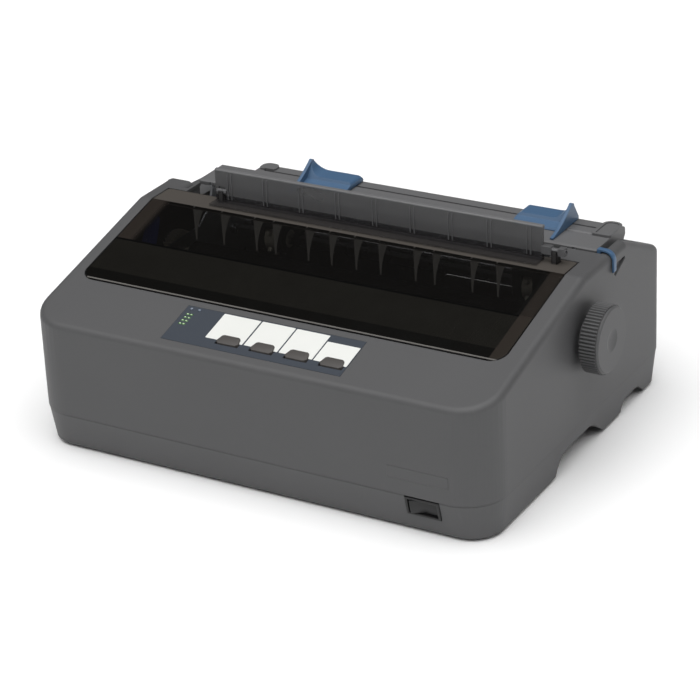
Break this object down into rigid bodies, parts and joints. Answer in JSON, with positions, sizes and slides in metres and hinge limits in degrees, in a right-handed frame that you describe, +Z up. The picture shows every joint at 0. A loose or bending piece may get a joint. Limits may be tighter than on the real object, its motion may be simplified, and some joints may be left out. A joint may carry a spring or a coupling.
{
  "type": "dot matrix printer",
  "caption": "Desktop impact printer: sloped grey case, tinted hinged cover, clear paper separator, rear paper guide with blue edge guides, side feed knob, tractors and print mechanism.",
  "frame": {"origin": "centre of the footprint, on the surface that the feet stand on", "axes": "+X to the right of someone facing the control panel, +Y to the rear where the paper enters, +Z up"},
  "size_m": [0.366, 0.2757, 0.1544],
  "materials": {
    "case_grey": "fine spark texture",
    "tinted_clear": "smooth, smoke tinted",
    "clear": "smooth, clear",
    "shield_dark": "smooth",
    "part_blue": "satin",
    "lever_blue": "satin",
    "overlay_blue": "satin film",
    "button_grey": "satin",
    "black_plastic": "satin",
    "white_plastic": "satin",
    "steel": "zinc plated",
    "head_metal": "cast, fine fins",
    "motor": "satin",
    "rubber": "matt",
    "board_green": "solder mask",
    "cable": "smooth"
  },
  "bodies": {
    "chassis": {"lower_case": "case_grey", "upper_case": "case_grey", "rubber_feet": "rubber", "platen_bushes": "white_plastic", "feed_motor": "motor", "paper_chute": "black_plastic", "carriage_motor": "motor", "drive_belt": "rubber", "ribbon_cartridge": "black_plastic", "ribbon": "black_plastic", "tractor_support_shaft": "steel", "control_overlay": "overlay_blue", "panel_board": "board_green", "switch_bezel": "black_plastic", "base_frame": "steel", "side_frame_left": "steel", "side_frame_right": "steel", "main_board": "board_green", "power_supply": "motor", "mains_inlet": "black_plastic", "head_cable": "cable", "frame_screws": "steel"},
    "cover": {"printer_cover": "tinted_clear", "cover_ribs": "tinted_clear", "sound_shield": "shield_dark"},
    "separator": {"paper_separator": "clear"},
    "guide": {"paper_guide": "case_grey"},
    "edge_left": {"edge_guide_left": "part_blue"},
    "edge_right": {"edge_guide_right": "part_blue"},
    "release": {"release_lever": "part_blue"},
    "thickness": {"carriage_shaft": "steel", "thickness_lever": "lever_blue"},
    "platen": {"feed_knob": "case_grey", "platen_core": "steel", "platen_roller": "rubber", "platen_gear": "white_plastic"},
    "reduction": {"reduction_gear": "white_plastic"},
    "pinion": {"feed_pinion": "steel"},
    "idler": {"tractor_idler": "white_plastic"},
    "tractor_drive": {"tractor_drive_shaft": "steel", "tractor_gear": "white_plastic"},
    "rollers": {"pressure_rollers": "rubber"},
    "carriage": {"carriage": "black_plastic", "print_head": "head_metal"},
    "pulley_drive": {"drive_pulley": "steel"},
    "pulley_idle": {"idler_pulley": "steel"},
    "ribbon_takeup": {"ribbon_knob": "black_plastic"},
    "left_tractor": {"tractor_left": "black_plastic"},
    "right_tractor": {"tractor_right": "black_plastic"},
    "left_sprocket": {"sprocket_left": "white_plastic"},
    "right_sprocket": {"sprocket_right": "white_plastic"},
    "left_gate": {"gate_left": "black_plastic"},
    "right_gate": {"gate_right": "black_plastic"},
    "left_lock": {"lock_lever_left": "part_blue"},
    "right_lock": {"lock_lever_right": "part_blue"},
    "button_a": {"button_1": "button_grey"},
    "button_b": {"button_2": "button_grey"},
    "button_c": {"button_3": "button_grey"},
    "button_d": {"button_4": "button_grey"},
    "rocker": {"power_rocker": "black_plastic"}
  },
  "joints": [
    {"name": "cover_hinge", "type": "hinge", "parent": "chassis", "child": "cover", "pos_m": [-0.01025, 0.023, 0.12865], "axis": [-1, 0, 0], "range_deg": [0, 55]},
    {"name": "separator_tilt", "type": "hinge", "parent": "cover", "child": "separator", "pos_m": [0.001, 0.0205, 0.138], "axis": [1, 0, 0], "range_deg": [-75, 0]},
    {"name": "guide_hinge", "type": "hinge", "parent": "chassis", "child": "guide", "pos_m": [-0.005, 0.0489, 0.1284], "axis": [1, 0, 0], "range_deg": [0, 55]},
    {"name": "edge_left_slide", "type": "slide", "parent": "guide", "child": "edge_left", "axis": [1, 0, 0], "range_m": [-0.03, 0.11]},
    {"name": "edge_right_slide", "type": "slide", "parent": "guide", "child": "edge_right", "axis": [1, 0, 0], "range_m": [-0.11, 0.018]},
    {"name": "release_tilt", "type": "hinge", "parent": "chassis", "child": "release", "pos_m": [0.156, 0.053, 0.072], "axis": [-1, 0, 0], "range_deg": [0, 12]},
    {"name": "thickness_tilt", "type": "hinge", "parent": "chassis", "child": "thickness", "pos_m": [-0.023, -0.0255, 0.066], "axis": [-1, 0, 0], "range_deg": [0, 12]},
    {"name": "platen_turn", "type": "hinge", "parent": "chassis", "child": "platen", "pos_m": [-0.003, 0.0078, 0.088], "axis": [1, 0, 0], "continuous": true},
    {"name": "reduction_turn", "type": "hinge", "parent": "chassis", "child": "reduction", "pos_m": [-0.155, 0.0144, 0.05058], "axis": [1, 0, 0], "continuous": true},
    {"name": "pinion_turn", "type": "hinge", "parent": "chassis", "child": "pinion", "pos_m": [-0.155, 0.0404, 0.05058], "axis": [1, 0, 0], "continuous": true},
    {"name": "idler_turn", "type": "hinge", "parent": "chassis", "child": "idler", "pos_m": [-0.155, 0.03925, 0.08207], "axis": [1, 0, 0], "continuous": true},
    {"name": "tractor_shaft_turn", "type": "hinge", "parent": "chassis", "child": "tractor_drive", "pos_m": [-0.003, 0.0705, 0.086], "axis": [1, 0, 0], "continuous": true},
    {"name": "rollers_turn", "type": "hinge", "parent": "chassis", "child": "rollers", "pos_m": [-0.003, 0.01238, 0.0709], "axis": [1, 0, 0], "continuous": true},
    {"name": "carriage_slide", "type": "slide", "parent": "chassis", "child": "carriage", "axis": [1, 0, 0], "range_m": [0, 0.2]},
    {"name": "drive_pulley_turn", "type": "hinge", "parent": "chassis", "child": "pulley_drive", "pos_m": [0.123, -0.0455, 0.065], "axis": [0, 0, 1], "range_deg": [-1750, 0]},
    {"name": "idler_pulley_turn", "type": "hinge", "parent": "chassis", "child": "pulley_idle", "pos_m": [-0.131, -0.0455, 0.065], "axis": [0, 0, 1], "range_deg": [-1750, 0]},
    {"name": "ribbon_knob_turn", "type": "hinge", "parent": "chassis", "child": "ribbon_takeup", "pos_m": [-0.1072, -0.0615, 0.095], "axis": [0, 0, 1], "continuous": true},
    {"name": "left_tractor_slide", "type": "slide", "parent": "chassis", "child": "left_tractor", "axis": [1, 0, 0], "range_m": [-0.02, 0.09]},
    {"name": "right_tractor_slide", "type": "slide", "parent": "chassis", "child": "right_tractor", "axis": [1, 0, 0], "range_m": [-0.09, 0.02]},
    {"name": "left_sprocket_turn", "type": "hinge", "parent": "left_tractor", "child": "left_sprocket", "pos_m": [-0.11, 0.0705, 0.086], "axis": [1, 0, 0], "continuous": true},
    {"name": "right_sprocket_turn", "type": "hinge", "parent": "right_tractor", "child": "right_sprocket", "pos_m": [0.096, 0.0705, 0.086], "axis": [1, 0, 0], "continuous": true},
    {"name": "left_gate_hinge", "type": "hinge", "parent": "left_tractor", "child": "left_gate", "pos_m": [-0.1226, 0.0735, 0.1024], "axis": [0, -1, 0], "range_deg": [0, 85]},
    {"name": "right_gate_hinge", "type": "hinge", "parent": "right_tractor", "child": "right_gate", "pos_m": [0.1086, 0.0735, 0.1024], "axis": [0, 1, 0], "range_deg": [0, 85]},
    {"name": "left_lock_tilt", "type": "hinge", "parent": "left_tractor", "child": "left_lock", "pos_m": [-0.1229, 0.0885, 0.084], "axis": [-1, 0, 0], "range_deg": [0, 40]},
    {"name": "right_lock_tilt", "type": "hinge", "parent": "right_tractor", "child": "right_lock", "pos_m": [0.1089, 0.0885, 0.084], "axis": [-1, 0, 0], "range_deg": [0, 40]},
    {"name": "button_1_press", "type": "slide", "parent": "chassis", "child": "button_a", "axis": [0, 0.2416, -0.9704], "range_m": [0, 0.0008], "stiffness_N_per_m": 300, "springref_m": -0.001},
    {"name": "button_2_press", "type": "slide", "parent": "chassis", "child": "button_b", "axis": [0, 0.2416, -0.9704], "range_m": [0, 0.0008], "stiffness_N_per_m": 300, "springref_m": -0.001},
    {"name": "button_3_press", "type": "slide", "parent": "chassis", "child": "button_c", "axis": [0, 0.2416, -0.9704], "range_m": [0, 0.0008], "stiffness_N_per_m": 300, "springref_m": -0.001},
    {"name": "button_4_press", "type": "slide", "parent": "chassis", "child": "button_d", "axis": [0, 0.2416, -0.9704], "range_m": [0, 0.0008], "stiffness_N_per_m": 300, "springref_m": -0.001},
    {"name": "power_rocker_tilt", "type": "hinge", "parent": "chassis", "child": "rocker", "pos_m": [0.1185, -0.13091, 0.02139], "axis": [0, 0.2169, -0.9762], "range_deg": [0, 14]}
  ],
  "couplings": [
    {"joint": "reduction_turn", "follows": "platen_turn", "ratio": -0.9},
    {"joint": "pinion_turn", "follows": "platen_turn", "ratio": 3},
    {"joint": "idler_turn", "follows": "platen_turn", "ratio": -1.2857},
    {"joint": "tractor_shaft_turn", "follows": "platen_turn", "ratio": 1.0286},
    {"joint": "left_sprocket_turn", "follows": "platen_turn", "ratio": 1.0286},
    {"joint": "right_sprocket_turn", "follows": "platen_turn", "ratio": 1.0286},
    {"joint": "rollers_turn", "follows": "platen_turn", "ratio": -2.5},
    {"joint": "drive_pulley_turn", "follows": "carriage_slide", "rad_per_m": -145.99},
    {"joint": "idler_pulley_turn", "follows": "carriage_slide", "rad_per_m": -145.99}
  ]
}
